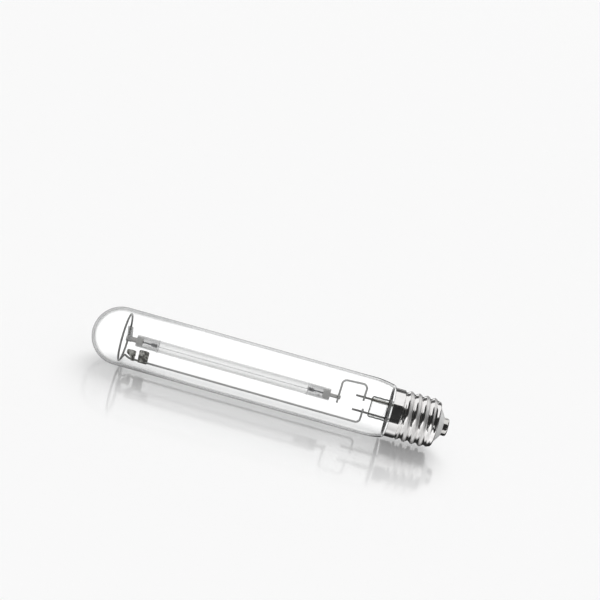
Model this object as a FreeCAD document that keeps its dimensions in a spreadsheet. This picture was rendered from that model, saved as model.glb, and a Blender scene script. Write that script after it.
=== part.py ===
"""High pressure sodium lamp: clear tubular bulb, ceramic arc tube on a wire frame, E40 screw cap.

The lamp lies along X, dome towards -X and cap towards +X, on the plane Z = 0, with the frame rod
lowest. Stations along the lamp are measured from the apex of the dome. Each piece has a frame of its
own on the lamp's axis, at the station where the piece starts.
"""

import FreeCAD
import Part
import Sketcher
import math
import os

DIMENSIONS = {
    "overall_length": 285,
    # outer bulb, blown from borosilicate tube
    "bulb_dia": 46,
    "bulb_wall": 1.3,
    "shoulder_length": 16.35,
    "shoulder_drop": 1.8,
    "fold_length": 2.3,
    "fold_ease": 0.51,
    "collar_gap": 0.25,
    "neck_clear": 0.65,
    "neck_land": 5.4,
    "neck_step": 1.8,
    "seal_clear": 0.4,
    "neck_gap": 7,
    # stem
    "stem_tube_dia": 19,
    "stem_wall": 1.3,
    "stem_tube_length": 10,
    "press_reach": 16.1,
    "press_length": 11,
    "press_width": 17.6,
    "press_thick": 5.6,
    "press_round": 1.2,
    "press_blend": 7,
    "exhaust_dia": 5.4,
    "exhaust_length": 14,
    # current leads
    "lead_dia": 1.6,
    "lead_spacing": 12.4,
    "lead_reach": 12.6,
    "lead_tail": 4,
    "bead_dia": 3,
    "bead_length": 16,
    "bead_proud": 0.6,
    "flex_dia": 1,
    "flex_bend": 3,
    "flex_turn": 4,
    "flex_clear": 0.1,
    "flex_settle": 1,
    # frame wire: leg, rod, kink and ring
    "frame_dia": 1.6,
    "frame_gap": 6.2,
    "frame_bend": 3.6,
    "weld_gap": 0.02,
    "leg_gap": 4.5,
    "leg_end": 3,
    "ring_station": 26.2,
    "ring_clear": 2.3,
    "kink_rise": 2.3,
    "kink_apex": 2.4,
    "kink_foot": 6.8,
    "kink_bend": 1,
    "kink_seat": 0.4,
    # bow wire
    "bow_offset": 6.6,
    "bow_foot": 3.6,
    "bow_rise_gap": 5.1,
    "bow_leg_gap": 6.1,
    "bow_leg_rise_gap": 3.9,
    "bow_leg_end": 4,
    # arc tube
    "arc_gap": 9.4,
    "arc_to_press": 32,
    "arc_dia": 9.4,
    "arc_wall": 0.75,
    "plug_fit": 0.02,
    "plug_dome_length": 4.5,
    "plug_cap_length": 5.6,
    "niobium_dome_dia": 4,
    "niobium_dome_out": 8.6,
    "niobium_cap_dia": 3,
    "niobium_cap_out": 8.4,
    "niobium_wall": 0.35,
    "niobium_recess": 0.8,
    "shaft_dia": 1.2,
    "shaft_reach": 14,
    "coil_dia": 3,
    "coil_turn": 0.9,
    "coil_turns": 6,
    "coil_groove": 0.3,
    "coil_setback": 0.9,
    "coil_fit": 0.03,
    "dose_dia": 2.2,
    "dose_setback": 3,
    # starting wire
    "starter_dia": 0.6,
    "starter_clear": 0.03,
    "starter_dome": 17.1,
    "starter_cap": 17.6,
    "starter_angle": 22,
    # strap from the ring to the arc tube
    "strap_width": 4.2,
    "strap_thick": 0.4,
    "strap_shift": 3.2,
    "strap_clear": 0.05,
    "strap_seat": 0.25,
    "strap_tab": 2.6,
    "strap_tail": 1.2,
    # getters
    "getter_thick": 0.5,
    "getter_fit": 0.03,
    "getter_a_offset": 1.2,
    "getter_a_width": 7.4,
    "getter_a_gap": 3,
    "getter_a_clip": 2.8,
    "getter_a_clip_start": 4.2,
    "getter_a_taper": 3.6,
    "getter_b_offset": 2.2,
    "getter_b_width": 7.9,
    "getter_b_gap": 1,
    "getter_b_clip": 7,
    "getter_b_clip_start": 0.5,
    "getter_b_taper": 0.6,
    # screw shell, rolled sheet
    "shell_length": 37,
    "shell_sheet": 0.35,
    "collar_dia": 38.4,
    "collar_length": 8.2,
    "collar_step": 1.6,
    "thread_major": 39.4,
    "thread_minor": 35.7,
    "thread_pitch": 6.35,
    "thread_first": 6.65,
    "thread_last": 1.14,
    "thread_entry": 2.3,
    "thread_exit": 5,
    "crest_flat": 1.3,
    "crest_width": 3,
    "crest_drop": 0.8,
    "crest_ease": 0.1,
    "thread_foot": 5.5,
    "rim_round": 1.6,
    "rim_bore": 29,
    "cement_start": 8.6,
    "cement_tail": 3.4,
    # contact end
    "insulator_nose": 4.9,
    "insulator_depth": 6,
    "insulator_flange": 32,
    "insulator_fit": 0.02,
    "contact_dia": 14,
    "contact_thick": 4.2,
    "contact_sheet": 0.6,
    "contact_round": 1.5,
    "solder_dia": 4.4,
}

doc = FreeCAD.newDocument("sodium_lamp")
sheet = doc.addObject("Spreadsheet::Sheet", "dims")
for row, (alias, number) in enumerate(DIMENSIONS.items(), start=1):
    sheet.set(f"A{row}", alias)
    sheet.set(f"B{row}", str(number))
    sheet.setAlias(f"B{row}", alias)
doc.recompute()

# Places and radii that several pieces share, as expressions on the sheet
AXIS = "dims.bulb_dia / 2"
BULB_BORE = "(dims.bulb_dia / 2 - dims.bulb_wall)"
THREAD_BORE = "(dims.thread_minor / 2 - dims.shell_sheet)"
NECK_R = "(dims.collar_dia / 2 - dims.shell_sheet - dims.neck_clear)"
SEAL_R = f"({THREAD_BORE} - dims.seal_clear)"
SEAL_BORE = f"({SEAL_R} - dims.bulb_wall)"
CONTACT = "(dims.overall_length - dims.contact_thick)"
SHELL_END = f"({CONTACT} - dims.insulator_nose)"
SHELL = f"({SHELL_END} - dims.shell_length)"
INSULATOR = f"({SHELL_END} - dims.insulator_depth)"
NECK_END = f"({INSULATOR} - dims.neck_gap)"
FOLD_START = f"({SHELL} - dims.collar_gap - dims.fold_length)"
SHOULDER = f"({FOLD_START} - dims.shoulder_length)"
PRESS = f"({SHELL} - dims.press_reach)"
LEAD = f"({PRESS} - dims.lead_reach)"
FRAME_Y = "(dims.niobium_cap_dia / 2 + dims.frame_dia / 2 + dims.weld_gap)"
LEAD_Y = "(dims.niobium_cap_dia / 2 - dims.lead_dia / 2)"
LEAD_Z = "dims.lead_spacing / 2"
LEAD_END = (
    f"({PRESS} + dims.press_length + dims.press_blend + dims.stem_wall + dims.lead_tail)"
)
LEG = f"({PRESS} - dims.leg_gap)"
FRAME_DROP = f"({BULB_BORE} - dims.frame_gap)"
RING_R = f"({BULB_BORE} - dims.ring_clear - dims.frame_dia / 2)"
ARC_BORE = "(dims.arc_dia / 2 - dims.arc_wall)"
ARC_END = f"({PRESS} - dims.arc_to_press)"
ARC = "(dims.ring_station + dims.arc_gap)"
ARC_LENGTH = f"({ARC_END} - {ARC})"
BOW = f"({ARC_END} + dims.bow_offset)"
STARTER = f"({ARC} + dims.starter_dome)"
STARTER_RUN = f"({ARC_LENGTH} - dims.starter_dome - dims.starter_cap)"
GETTER_A = (
    "(dims.ring_station + dims.kink_foot + dims.getter_a_offset - dims.getter_a_clip_start)"
)
GETTER_B = f"({GETTER_A} + dims.getter_a_width + dims.getter_b_offset)"
WIRE_HOLE = f"({LEAD_Y} + dims.flex_dia / 2 + dims.flex_clear)"


def value(expression):
    """The number that an expression on the sheet gives."""
    return float(sheet.evalExpression(str(expression)))


def vector(point):
    return FreeCAD.Vector(value(point[0]), value(point[1]), 0)


def new_body(label, station, y="0", z="0", turned=False):
    """A body on the lamp's axis at a station; a turned one runs back towards the dome."""
    body = doc.addObject("PartDesign::Body", label)
    body.Label = label
    if turned:
        body.Placement = FreeCAD.Placement(
            FreeCAD.Vector(), FreeCAD.Rotation(FreeCAD.Vector(0, 0, 1), 180)
        )
    body.setExpression("Placement.Base.x", f"{station} - dims.overall_length / 2")
    body.setExpression("Placement.Base.y", y)
    body.setExpression("Placement.Base.z", f"{AXIS} + {z}")
    return body


def origin_feature(body, role):
    return [item for item in body.Origin.OriginFeatures if item.Role == role][0]


def new_sketch(body, name, role, offset="0"):
    """A sketch flat on one of the body's own origin planes, or parallel to it."""
    sketch = body.newObject("Sketcher::SketchObject", f"{body.Label}_{name}")
    sketch.AttachmentSupport = [(origin_feature(body, role), "")]
    sketch.MapMode = "FlatFace"
    sketch.setExpression("AttachmentOffset.Base.z", offset)
    return sketch


def bind(sketch, constraint, expression):
    index = sketch.addConstraint(constraint)
    sketch.setExpression(f"Constraints[{index}]", str(expression))


def fix_point(sketch, geometry, end, point):
    """Holds one point of the sketch at two expressions."""
    across, up = point
    bind(sketch, Sketcher.Constraint("DistanceX", -1, 1, geometry, end, value(across)), across)
    bind(sketch, Sketcher.Constraint("DistanceY", -1, 1, geometry, end, value(up)), up)


def arc_between(start, end, radius, left):
    """The shorter arc of a radius that turns left or right from start to end."""
    chord = end - start
    middle = (start + end) * 0.5
    side = FreeCAD.Vector(-chord.y, chord.x, 0).normalize()
    height = math.sqrt(max(radius**2 - (chord.Length / 2) ** 2, 0))
    centre = middle + side * (height if left else -height)
    first, last = (start, end) if left else (end, start)
    angles = [math.atan2(p.y - centre.y, p.x - centre.x) for p in (first, last)]
    circle = Part.Circle(centre, FreeCAD.Vector(0, 0, 1), radius)
    return Part.ArcOfCircle(circle, angles[0], angles[1])


def outline(body, name, role, points, offset="0"):
    """A closed profile. A point is (across, up), or (across, up, radius, side) to leave by an arc."""
    sketch = new_sketch(body, name, role, offset)
    ends = []
    for i, point in enumerate(points):
        start = vector(point)
        end = vector(points[(i + 1) % len(points)])
        if len(point) == 2:
            ends.append((sketch.addGeometry(Part.LineSegment(start, end)), 1, 2))
            continue
        left = point[3] == "left"
        arc = arc_between(start, end, value(point[2]), left)
        ends.append((sketch.addGeometry(arc), *((1, 2) if left else (2, 1))))
    for i, (geometry, first, last) in enumerate(ends):
        following, next_first, _ = ends[(i + 1) % len(ends)]
        sketch.addConstraint(
            Sketcher.Constraint("Coincident", geometry, last, following, next_first)
        )
        fix_point(sketch, geometry, first, points[i][:2])
        if len(points[i]) == 4:
            radius = points[i][2]
            bind(sketch, Sketcher.Constraint("Radius", geometry, value(radius)), radius)
    return sketch


def circles(body, name, role, centre, radii, offset="0"):
    """One circle, or two about the same centre for a ring."""
    sketch = new_sketch(body, name, role, offset)
    for radius in radii:
        circle = Part.Circle(vector(centre), FreeCAD.Vector(0, 0, 1), value(radius))
        geometry = sketch.addGeometry(circle)
        fix_point(sketch, geometry, 3, centre)
        bind(sketch, Sketcher.Constraint("Radius", geometry, value(radius)), radius)
    return sketch


def wire_path(body, name, corners, bends, offset="0"):
    """An open path in the XZ plane: straight runs between corners, with a tangent arc at each bend."""
    sketch = new_sketch(body, name, "XZ_Plane", offset)
    points = [vector(corner) for corner in corners]
    runs = []
    start = points[0]
    arcs = []
    for before, corner, after, bend in zip(points, points[1:], points[2:], bends):
        arrive = (corner - before).normalize()
        leave = (after - corner).normalize()
        reach = value(bend) * math.tan(arrive.getAngle(leave) / 2)
        runs.append((start, corner - arrive * reach))
        start = corner + leave * reach
        turn_left = arrive.cross(leave).z > 0
        arcs.append((arc_between(runs[-1][1], start, value(bend), turn_left), turn_left))
    runs.append((start, points[-1]))
    lines = []
    turns = []
    for i, run in enumerate(runs):
        lines.append(sketch.addGeometry(Part.LineSegment(*run)))
        if i < len(arcs):
            turns.append(sketch.addGeometry(arcs[i][0]))
    fix_point(sketch, lines[0], 1, corners[0])
    fix_point(sketch, lines[-1], 2, corners[-1])
    for i, turn in enumerate(turns):
        first, last = (1, 2) if arcs[i][1] else (2, 1)
        sketch.addConstraint(Sketcher.Constraint("Tangent", lines[i], 2, turn, first))
        sketch.addConstraint(Sketcher.Constraint("Tangent", turn, last, lines[i + 1], 1))
        bind(sketch, Sketcher.Constraint("Radius", turn, value(bends[i])), bends[i])
        mark = sketch.addGeometry(Part.Point(points[i + 1]), True)
        fix_point(sketch, mark, 1, corners[i + 1])
        sketch.addConstraint(Sketcher.Constraint("PointOnObject", mark, 1, lines[i]))
        sketch.addConstraint(Sketcher.Constraint("PointOnObject", mark, 1, lines[i + 1]))
    return sketch


def revolve(body, profile, kind="Revolution"):
    """Turns a profile, or cuts with it, all the way round the lamp's axis."""
    feature = body.newObject(f"PartDesign::{kind}", f"{profile.Name}_turn")
    feature.Profile = profile
    feature.ReferenceAxis = (origin_feature(body, "X_Axis"), [""])
    feature.Angle = 360
    profile.Visibility = False
    return feature


def pad(body, profile, length, midplane=False):
    feature = body.newObject("PartDesign::Pad", f"{profile.Name}_pad")
    feature.Profile = profile
    feature.setExpression("Length", length)
    feature.Midplane = midplane
    return feature


def bore(body, profile, length=None):
    """Cuts a profile on a YZ plane towards the cap, right through unless a length is given."""
    feature = body.newObject("PartDesign::Pocket", f"{profile.Name}_bore")
    feature.Profile = profile
    feature.Reversed = True
    feature.Type = "ThroughAll" if length is None else "Length"
    if length is not None:
        feature.setExpression("Length", length)
    return feature


def sweep(body, profile, path):
    feature = body.newObject("PartDesign::AdditivePipe", f"{path.Name}_sweep")
    feature.Profile = profile
    feature.Spine = (path, [""])
    return feature


def outer_bulb():
    """Blown tube: round dome, straight barrel, shoulder, and a neck that goes into the screw shell."""
    body = new_body("outer_bulb", "0")
    radius = "dims.bulb_dia / 2"
    drop = "dims.shoulder_drop"
    fold_end = f"({FOLD_START} + dims.fold_length)"
    step_start = f"{SHELL} + dims.neck_land"
    step_end = f"{step_start} + dims.neck_step"
    wall = "dims.bulb_wall"
    fold_drop = f"({radius} - {drop} - {NECK_R})"
    fold_round = f"(sqrt(dims.fold_length ^ 2 + {fold_drop} ^ 2) / 2 + dims.fold_ease)"
    run = "dims.shoulder_length"
    shoulder_round = f"({run} ^ 2 + {drop} ^ 2) / (2 * {drop})"
    inner_run = f"({run} - {wall} / 2)"
    inner_round = f"({inner_run} ^ 2 + {drop} ^ 2) / (2 * {drop})"
    points = [
        ("0", "0", radius, "right"),
        (radius, radius),
        (SHOULDER, radius, shoulder_round, "right"),
        (FOLD_START, f"{radius} - {drop}", fold_round, "right"),
        (fold_end, NECK_R),
        (step_start, NECK_R),
        (step_end, SEAL_R),
        (NECK_END, SEAL_R),
        (NECK_END, SEAL_BORE),
        (step_end, SEAL_BORE),
        (step_start, f"{NECK_R} - {wall}"),
        (fold_end, f"{NECK_R} - {wall}"),
        (f"{FOLD_START} - {wall} / 2", f"{radius} - {drop} - {wall}", inner_round, "left"),
        (SHOULDER, BULB_BORE),
        (radius, BULB_BORE, BULB_BORE, "left"),
        (wall, "0"),
    ]
    revolve(body, outline(body, "section", "XZ_Plane", points))
    return body


def stem():
    """Glass stem: flat press round the leads, tube, flare sealed into the neck, exhaust tube."""
    body = new_body("stem", PRESS)
    half_width = "dims.press_width / 2"
    half_thick = "dims.press_thick / 2"
    corners = [
        (f"-{half_thick}", f"-{half_width}"),
        (half_thick, f"-{half_width}"),
        (half_thick, half_width),
        (f"-{half_thick}", half_width),
    ]
    press = pad(body, outline(body, "press", "YZ_Plane", corners), "dims.press_length")
    doc.recompute()
    front = [
        f"Edge{i}"
        for i, edge in enumerate(press.Shape.Edges, start=1)
        if edge.BoundBox.XMax < value("dims.press_round")
    ]
    rounding = body.newObject("PartDesign::Fillet", "press_fillet")
    rounding.Base = (press, front)
    rounding.setExpression("Radius", "dims.press_round")
    blend_start = "dims.press_length"
    blend_end = "dims.press_length + dims.press_blend"
    tube_r = "dims.stem_tube_dia / 2"
    reach = f"({tube_r} * dims.press_thick / sqrt(dims.press_width ^ 2 + dims.press_thick ^ 2))"
    rise = f"({tube_r} * dims.press_width / sqrt(dims.press_width ^ 2 + dims.press_thick ^ 2))"
    round_end = [
        (f"-{reach}", f"-{rise}", tube_r, "left"),
        (reach, f"-{rise}", tube_r, "left"),
        (reach, rise, tube_r, "left"),
        (f"-{reach}", rise, tube_r, "left"),
    ]
    loft = body.newObject("PartDesign::AdditiveLoft", "press_blend")
    loft.Profile = outline(body, "blend_flat", "YZ_Plane", corners, blend_start)
    loft.Sections = [outline(body, "blend_round", "YZ_Plane", round_end, blend_end)]
    end = f"({NECK_END} - {PRESS})"
    wall = "dims.stem_wall"
    tube_end = f"{blend_end} + dims.stem_tube_length"
    points = [
        (blend_end, "0"),
        (blend_end, tube_r),
        (tube_end, tube_r),
        (f"{end} - {wall}", SEAL_BORE),
        (end, SEAL_BORE),
        (end, f"{SEAL_BORE} - {wall}"),
        (f"{tube_end} + {wall} / 2", f"{tube_r} - {wall}"),
        (f"{blend_end} + {wall}", f"{tube_r} - {wall}"),
        (f"{blend_end} + {wall}", "dims.exhaust_dia / 2"),
        (f"{blend_end} + dims.exhaust_length", "dims.exhaust_dia / 2"),
        (f"{blend_end} + dims.exhaust_length + {wall}", "0"),
    ]
    revolve(body, outline(body, "tube", "XZ_Plane", points))
    lead = "dims.lead_dia / 2"
    bore(body, circles(body, "upper_lead", "YZ_Plane", (f"-{LEAD_Y}", LEAD_Z), [lead]))
    bore(body, circles(body, "lower_lead", "YZ_Plane", (f"-{LEAD_Y}", f"-{LEAD_Z}"), [lead]))
    seat = circles(body, "bead_seat", "YZ_Plane", (f"-{LEAD_Y}", LEAD_Z), ["dims.bead_dia / 2"])
    bore(body, seat, "dims.bead_length - dims.bead_proud")
    return body


def lead(label, height):
    """Straight molybdenum post through the press."""
    body = new_body(label, LEAD, f"-{LEAD_Y}", height)
    section = circles(body, "section", "YZ_Plane", ("0", "0"), ["dims.lead_dia / 2"])
    pad(body, section, f"{LEAD_END} - {LEAD}")
    return body


def lead_bead():
    """Sealing glass bead round the upper lead, pressed into the stem."""
    station = f"({PRESS} - dims.bead_proud)"
    body = new_body("lead_bead", station, f"-{LEAD_Y}", LEAD_Z)
    radii = ["dims.bead_dia / 2", "dims.lead_dia / 2"]
    pad(body, circles(body, "section", "YZ_Plane", ("0", "0"), radii), "dims.bead_length")
    return body


def frame_wire():
    """One wire: leg across the lower lead, long rod, kink, and the centring ring in the dome."""
    body = new_body("frame_wire", LEG)
    radius = "dims.frame_dia / 2"
    ring_x = f"(dims.ring_station - {LEG})"
    ring_z = f"sqrt({RING_R} ^ 2 - {FRAME_Y} ^ 2)"
    corners = [
        ("0", "-dims.leg_end"),
        ("0", f"-{FRAME_DROP}"),
        (f"{ring_x} + dims.kink_foot", f"-{FRAME_DROP}"),
        (f"{ring_x} + dims.kink_apex", f"-{FRAME_DROP} + dims.kink_rise"),
        (f"{ring_x} + dims.kink_seat / 2", f"-{ring_z} + dims.kink_seat"),
    ]
    bends = ["dims.frame_bend", "dims.frame_bend", "dims.kink_bend"]
    path = wire_path(body, "path", corners, bends, FRAME_Y)
    start = circles(body, "start", "XY_Plane", ("0", f"-{FRAME_Y}"), [radius], "-dims.leg_end")
    sweep(body, start, path)
    ring = circles(body, "ring", "XZ_Plane", (ring_x, RING_R), [radius])
    revolve(body, ring)
    return body


def bow_wire():
    """Bent wire from the upper lead to the niobium tube at the cap end."""
    body = new_body("bow_wire", BOW)
    reach = f"({PRESS} - dims.bow_leg_gap - {BOW})"
    corners = [
        ("0", "-dims.bow_foot"),
        ("0", f"{BULB_BORE} - dims.bow_rise_gap"),
        (reach, f"{BULB_BORE} - dims.bow_leg_rise_gap"),
        (reach, "dims.bow_leg_end"),
    ]
    path = wire_path(body, "path", corners, ["dims.frame_bend"] * 2, FRAME_Y)
    radius = "dims.frame_dia / 2"
    start = circles(body, "start", "XY_Plane", ("0", f"-{FRAME_Y}"), [radius], "-dims.bow_foot")
    sweep(body, start, path)
    return body


def tube_strap():
    """Flat strap from the back of the ring, folded round the niobium tube at the dome end."""
    body = new_body("tube_strap", "dims.ring_station")
    half = "dims.strap_width / 2"
    under = "(dims.niobium_dome_dia / 2 + dims.strap_clear)"
    over = f"({under} + dims.strap_thick)"
    seat = f"({RING_R} - dims.frame_dia / 2 - dims.strap_seat)"
    shift = "dims.strap_shift"
    run = [
        (f"{shift} - {half}", "0"),
        (f"{shift} + {half}", "0"),
        (half, seat),
        (f"-{half}", seat),
    ]
    pad(body, outline(body, "run", "XY_Plane", run, under), "dims.strap_thick")
    fold = [
        ("0", over, over, "left"),
        (f"-{over}", "0", over, "left"),
        ("0", f"-{over}"),
        ("dims.strap_tail", f"-{over}"),
        ("dims.strap_tail", f"-{under}"),
        ("0", f"-{under}", under, "right"),
        (f"-{under}", "0", under, "right"),
        ("0", under),
    ]
    fold_start = f"{shift} - {half}"
    pad(body, outline(body, "fold", "YZ_Plane", fold, fold_start), "dims.strap_width")
    tab = [
        (f"{seat} - dims.strap_thick", f"{over} - dims.strap_tab"),
        (seat, f"{over} - dims.strap_tab"),
        (seat, over),
        (f"{seat} - dims.strap_thick", over),
    ]
    pad(body, outline(body, "tab", "YZ_Plane", tab, f"-{half}"), "dims.strap_width")
    return body


def arc_tube():
    """Translucent ceramic tube."""
    body = new_body("arc_tube", ARC)
    radii = ["dims.arc_dia / 2", ARC_BORE]
    pad(body, circles(body, "section", "YZ_Plane", ("0", "0"), radii), ARC_LENGTH)
    return body


def arc_end(side, station, turned):
    """Plug, niobium tube, electrode shaft and its coil at one end of the arc tube."""
    niobium_r = f"dims.niobium_{side}_dia / 2"
    plug_length = f"dims.plug_{side}_length"
    plug = new_body(f"plug_{side}", station, turned=turned)
    radii = [f"{ARC_BORE} - dims.plug_fit", f"{niobium_r} + dims.plug_fit"]
    pad(plug, circles(plug, "section", "YZ_Plane", ("0", "0"), radii), plug_length)

    sign = "+" if turned else "-"
    out = f"dims.niobium_{side}_out"
    tube = new_body(f"niobium_tube_{side}", f"{station} {sign} {out}", turned=turned)
    inner_end = f"{out} + {plug_length} - dims.niobium_recess"
    wall = "dims.niobium_wall"
    points = [
        ("0", niobium_r),
        (inner_end, niobium_r),
        (inner_end, "0"),
        (f"{inner_end} - {wall}", "0"),
        (f"{inner_end} - {wall}", f"{niobium_r} - {wall}"),
        ("0", f"{niobium_r} - {wall}"),
    ]
    revolve(tube, outline(tube, "section", "XZ_Plane", points))

    inward = "-" if turned else "+"
    root = f"({station} {inward} ({plug_length} - dims.niobium_recess))"
    shaft = new_body(f"electrode_{side}", root, turned=turned)
    section = circles(shaft, "section", "YZ_Plane", ("0", "0"), ["dims.shaft_dia / 2"])
    pad(shaft, section, "dims.shaft_reach")

    coil_length = "(dims.coil_turn * dims.coil_turns)"
    setback = f"(dims.shaft_reach - dims.coil_setback - {coil_length})"
    coil = new_body(f"electrode_coil_{side}", f"{root} {inward} {setback}", turned=turned)
    bore_r = "dims.shaft_dia / 2 + dims.coil_fit"
    crest = "dims.coil_dia / 2"
    valley = f"{crest} - dims.coil_groove"
    points = [("0", bore_r), ("0", valley)]
    for turn in range(int(value("dims.coil_turns"))):
        points.append((f"dims.coil_turn * {turn + 0.25}", crest))
        points.append((f"dims.coil_turn * {turn + 0.75}", crest))
        points.append((f"dims.coil_turn * {turn + 1}", valley))
    points.append((coil_length, bore_r))
    revolve(coil, outline(coil, "section", "XZ_Plane", points))
    return [plug, tube, shaft, coil]


def amalgam_dose():
    """Pellet of sodium amalgam lying in the arc tube near the cap end."""
    ball = doc.addObject("Part::Sphere", "amalgam_dose")
    ball.Label = "amalgam_dose"
    ball.setExpression("Radius", "dims.dose_dia / 2")
    station = f"{ARC_END} - dims.plug_cap_length - dims.dose_setback"
    ball.setExpression("Placement.Base.x", f"{station} - dims.overall_length / 2")
    rest = f"{AXIS} - {ARC_BORE} + dims.dose_dia / 2 + dims.plug_fit"
    ball.setExpression("Placement.Base.z", rest)
    return ball


def starting_wire():
    """Starting aid: a loop round the arc tube near each electrode and a run along the tube."""
    body = new_body("starting_wire", STARTER)
    inner = "(dims.arc_dia / 2 + dims.starter_clear)"
    outer = f"({inner} + dims.starter_dia)"
    half = "dims.starter_dia / 2"
    for name, place in (("loop_dome", "0"), ("loop_cap", STARTER_RUN)):
        points = [
            (f"{place} - {half}", inner),
            (f"{place} + {half}", inner),
            (f"{place} + {half}", outer),
            (f"{place} - {half}", outer),
        ]
        revolve(body, outline(body, name, "XZ_Plane", points))
    middle = f"({inner} + {half})"
    centre = (f"-{middle} * cos(dims.starter_angle)", f"{middle} * sin(dims.starter_angle)")
    pad(body, circles(body, "run", "YZ_Plane", centre, [half]), STARTER_RUN)
    return body


def getter(side, station):
    """Sheet metal flag that stands on the frame rod, with its foot clipped round the rod."""
    body = new_body(f"getter_flag_{side}", station, f"-{FRAME_Y}", f"-{FRAME_DROP}")
    width = f"dims.getter_{side}_width"
    clip_start = f"dims.getter_{side}_clip_start"
    clip_length = f"dims.getter_{side}_clip"
    taper = f"dims.getter_{side}_taper"
    inner = "(dims.frame_dia / 2 + dims.getter_fit)"
    outer = f"({inner} + dims.getter_thick)"
    clip = circles(body, "clip", "YZ_Plane", ("0", "0"), [outer, inner], clip_start)
    pad(body, clip, clip_length)
    base = f"({inner} + dims.getter_thick / 2)"
    top = f"({FRAME_DROP} - dims.arc_dia / 2 - dims.getter_{side}_gap)"
    points = [
        (clip_start, base),
        (f"{clip_start} + {clip_length}", base),
        (width, f"{base} + {taper}"),
        (width, top),
        ("0", top),
        ("0", f"{base} + {taper}"),
    ]
    flag = outline(body, "flag", "XZ_Plane", points)
    pad(body, flag, "dims.getter_thick", midplane=True)
    return body


def screw_shell():
    """Rolled shell: plain collar, right-hand knuckle thread, and a rim turned in over the insulator."""
    body = new_body("screw_shell", SHELL)
    sheet_t = "dims.shell_sheet"
    collar = "dims.collar_dia / 2"
    root = "dims.thread_minor / 2"
    length = "dims.shell_length"
    step_start = "dims.collar_length - dims.collar_step"
    points = [
        ("0", f"{collar} - {sheet_t}"),
        ("0", collar),
        ("dims.collar_length", collar),
        (f"dims.collar_length + {sheet_t}", root),
        (f"{length} - dims.rim_round", root, "dims.rim_round", "right"),
        (length, f"{root} - dims.rim_round"),
        (length, "dims.rim_bore / 2"),
        (f"{length} - {sheet_t}", "dims.rim_bore / 2"),
        (f"{length} - {sheet_t}", f"{root} - dims.rim_round",
         f"dims.rim_round - {sheet_t}", "left"),
        (f"{length} - dims.rim_round", THREAD_BORE),
        ("dims.collar_length", THREAD_BORE),
        (step_start, f"{collar} - {sheet_t}"),
    ]
    revolve(body, outline(body, "section", "XZ_Plane", points))
    crest = "dims.thread_major / 2"
    inside = f"{root} - {sheet_t} / 3"
    first = "dims.thread_first"
    ridge = [
        (f"{first} - dims.thread_foot / 2", inside),
        (f"{first} + dims.thread_foot / 2", inside),
        (f"{first} + dims.crest_width / 2", f"{crest} - dims.crest_drop"),
        (f"{first} + dims.crest_flat / 2", f"{crest} - dims.crest_ease / 2"),
        (f"{first} - dims.crest_flat / 2", f"{crest} - dims.crest_ease / 2"),
        (f"{first} - dims.crest_width / 2", f"{crest} - dims.crest_drop"),
    ]
    thread = body.newObject("PartDesign::AdditiveHelix", "thread")
    thread.Profile = outline(body, "ridge", "XZ_Plane", ridge)
    thread.ReferenceAxis = (origin_feature(body, "X_Axis"), [""])
    thread.Mode = "pitch-height-angle"
    thread.setExpression("Pitch", "dims.thread_pitch")
    thread.setExpression("Height", f"{length} - {first} - dims.thread_last")
    beyond = f"{crest} + dims.thread_pitch"
    clear = f"{crest} + dims.crest_ease"
    trim = [
        ("-dims.thread_pitch", collar),
        ("dims.collar_length", collar),
        ("dims.collar_length + dims.thread_entry", clear),
        (f"{length} - dims.thread_exit", clear),
        (f"{length} - dims.rim_round / 4", root),
        (length, f"{root} - dims.rim_round"),
        (length, "dims.rim_bore / 2"),
        (f"{length} + dims.thread_pitch", "dims.rim_bore / 2"),
        (f"{length} + dims.thread_pitch", beyond),
        ("-dims.thread_pitch", beyond),
    ]
    revolve(body, outline(body, "trim", "XZ_Plane", trim), "Groove")
    hollow = [
        ("-dims.thread_pitch", "0"),
        ("dims.collar_length", "0"),
        ("dims.collar_length", THREAD_BORE),
        (step_start, f"{collar} - {sheet_t}"),
        ("-dims.thread_pitch", f"{collar} - {sheet_t}"),
    ]
    revolve(body, outline(body, "hollow", "XZ_Plane", hollow), "Groove")
    return body


def base_cement():
    """Ring of cement between the neck and the shell."""
    station = f"({SHELL} + dims.cement_start)"
    body = new_body("base_cement", station)
    radii = [THREAD_BORE, SEAL_R]
    length = f"{NECK_END} - dims.cement_tail - {station}"
    pad(body, circles(body, "section", "YZ_Plane", ("0", "0"), radii), length)
    return body


def base_insulator():
    """Pale moulded insulator held by the shell's rim, with a boss inside the centre contact."""
    body = new_body("base_insulator", SHELL_END)
    flange = "dims.insulator_flange / 2"
    lip = "-(dims.shell_sheet + dims.insulator_fit)"
    nose = "dims.insulator_nose"
    neck = "dims.rim_bore / 2 - dims.insulator_fit"
    boss = "dims.contact_dia / 2 - dims.contact_sheet - dims.insulator_fit"
    boss_end = f"{nose} + dims.contact_thick - dims.contact_sheet - dims.insulator_fit"
    points = [
        ("-dims.insulator_depth", WIRE_HOLE),
        ("-dims.insulator_depth", flange),
        (lip, flange),
        (lip, neck),
        ("0", neck),
        (nose, "dims.contact_dia / 2"),
        (nose, boss),
        (f"{boss_end} - dims.contact_round / 2", boss),
        (boss_end, f"{boss} - dims.contact_round"),
        (boss_end, WIRE_HOLE),
    ]
    revolve(body, outline(body, "section", "XZ_Plane", points))
    return body


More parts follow.
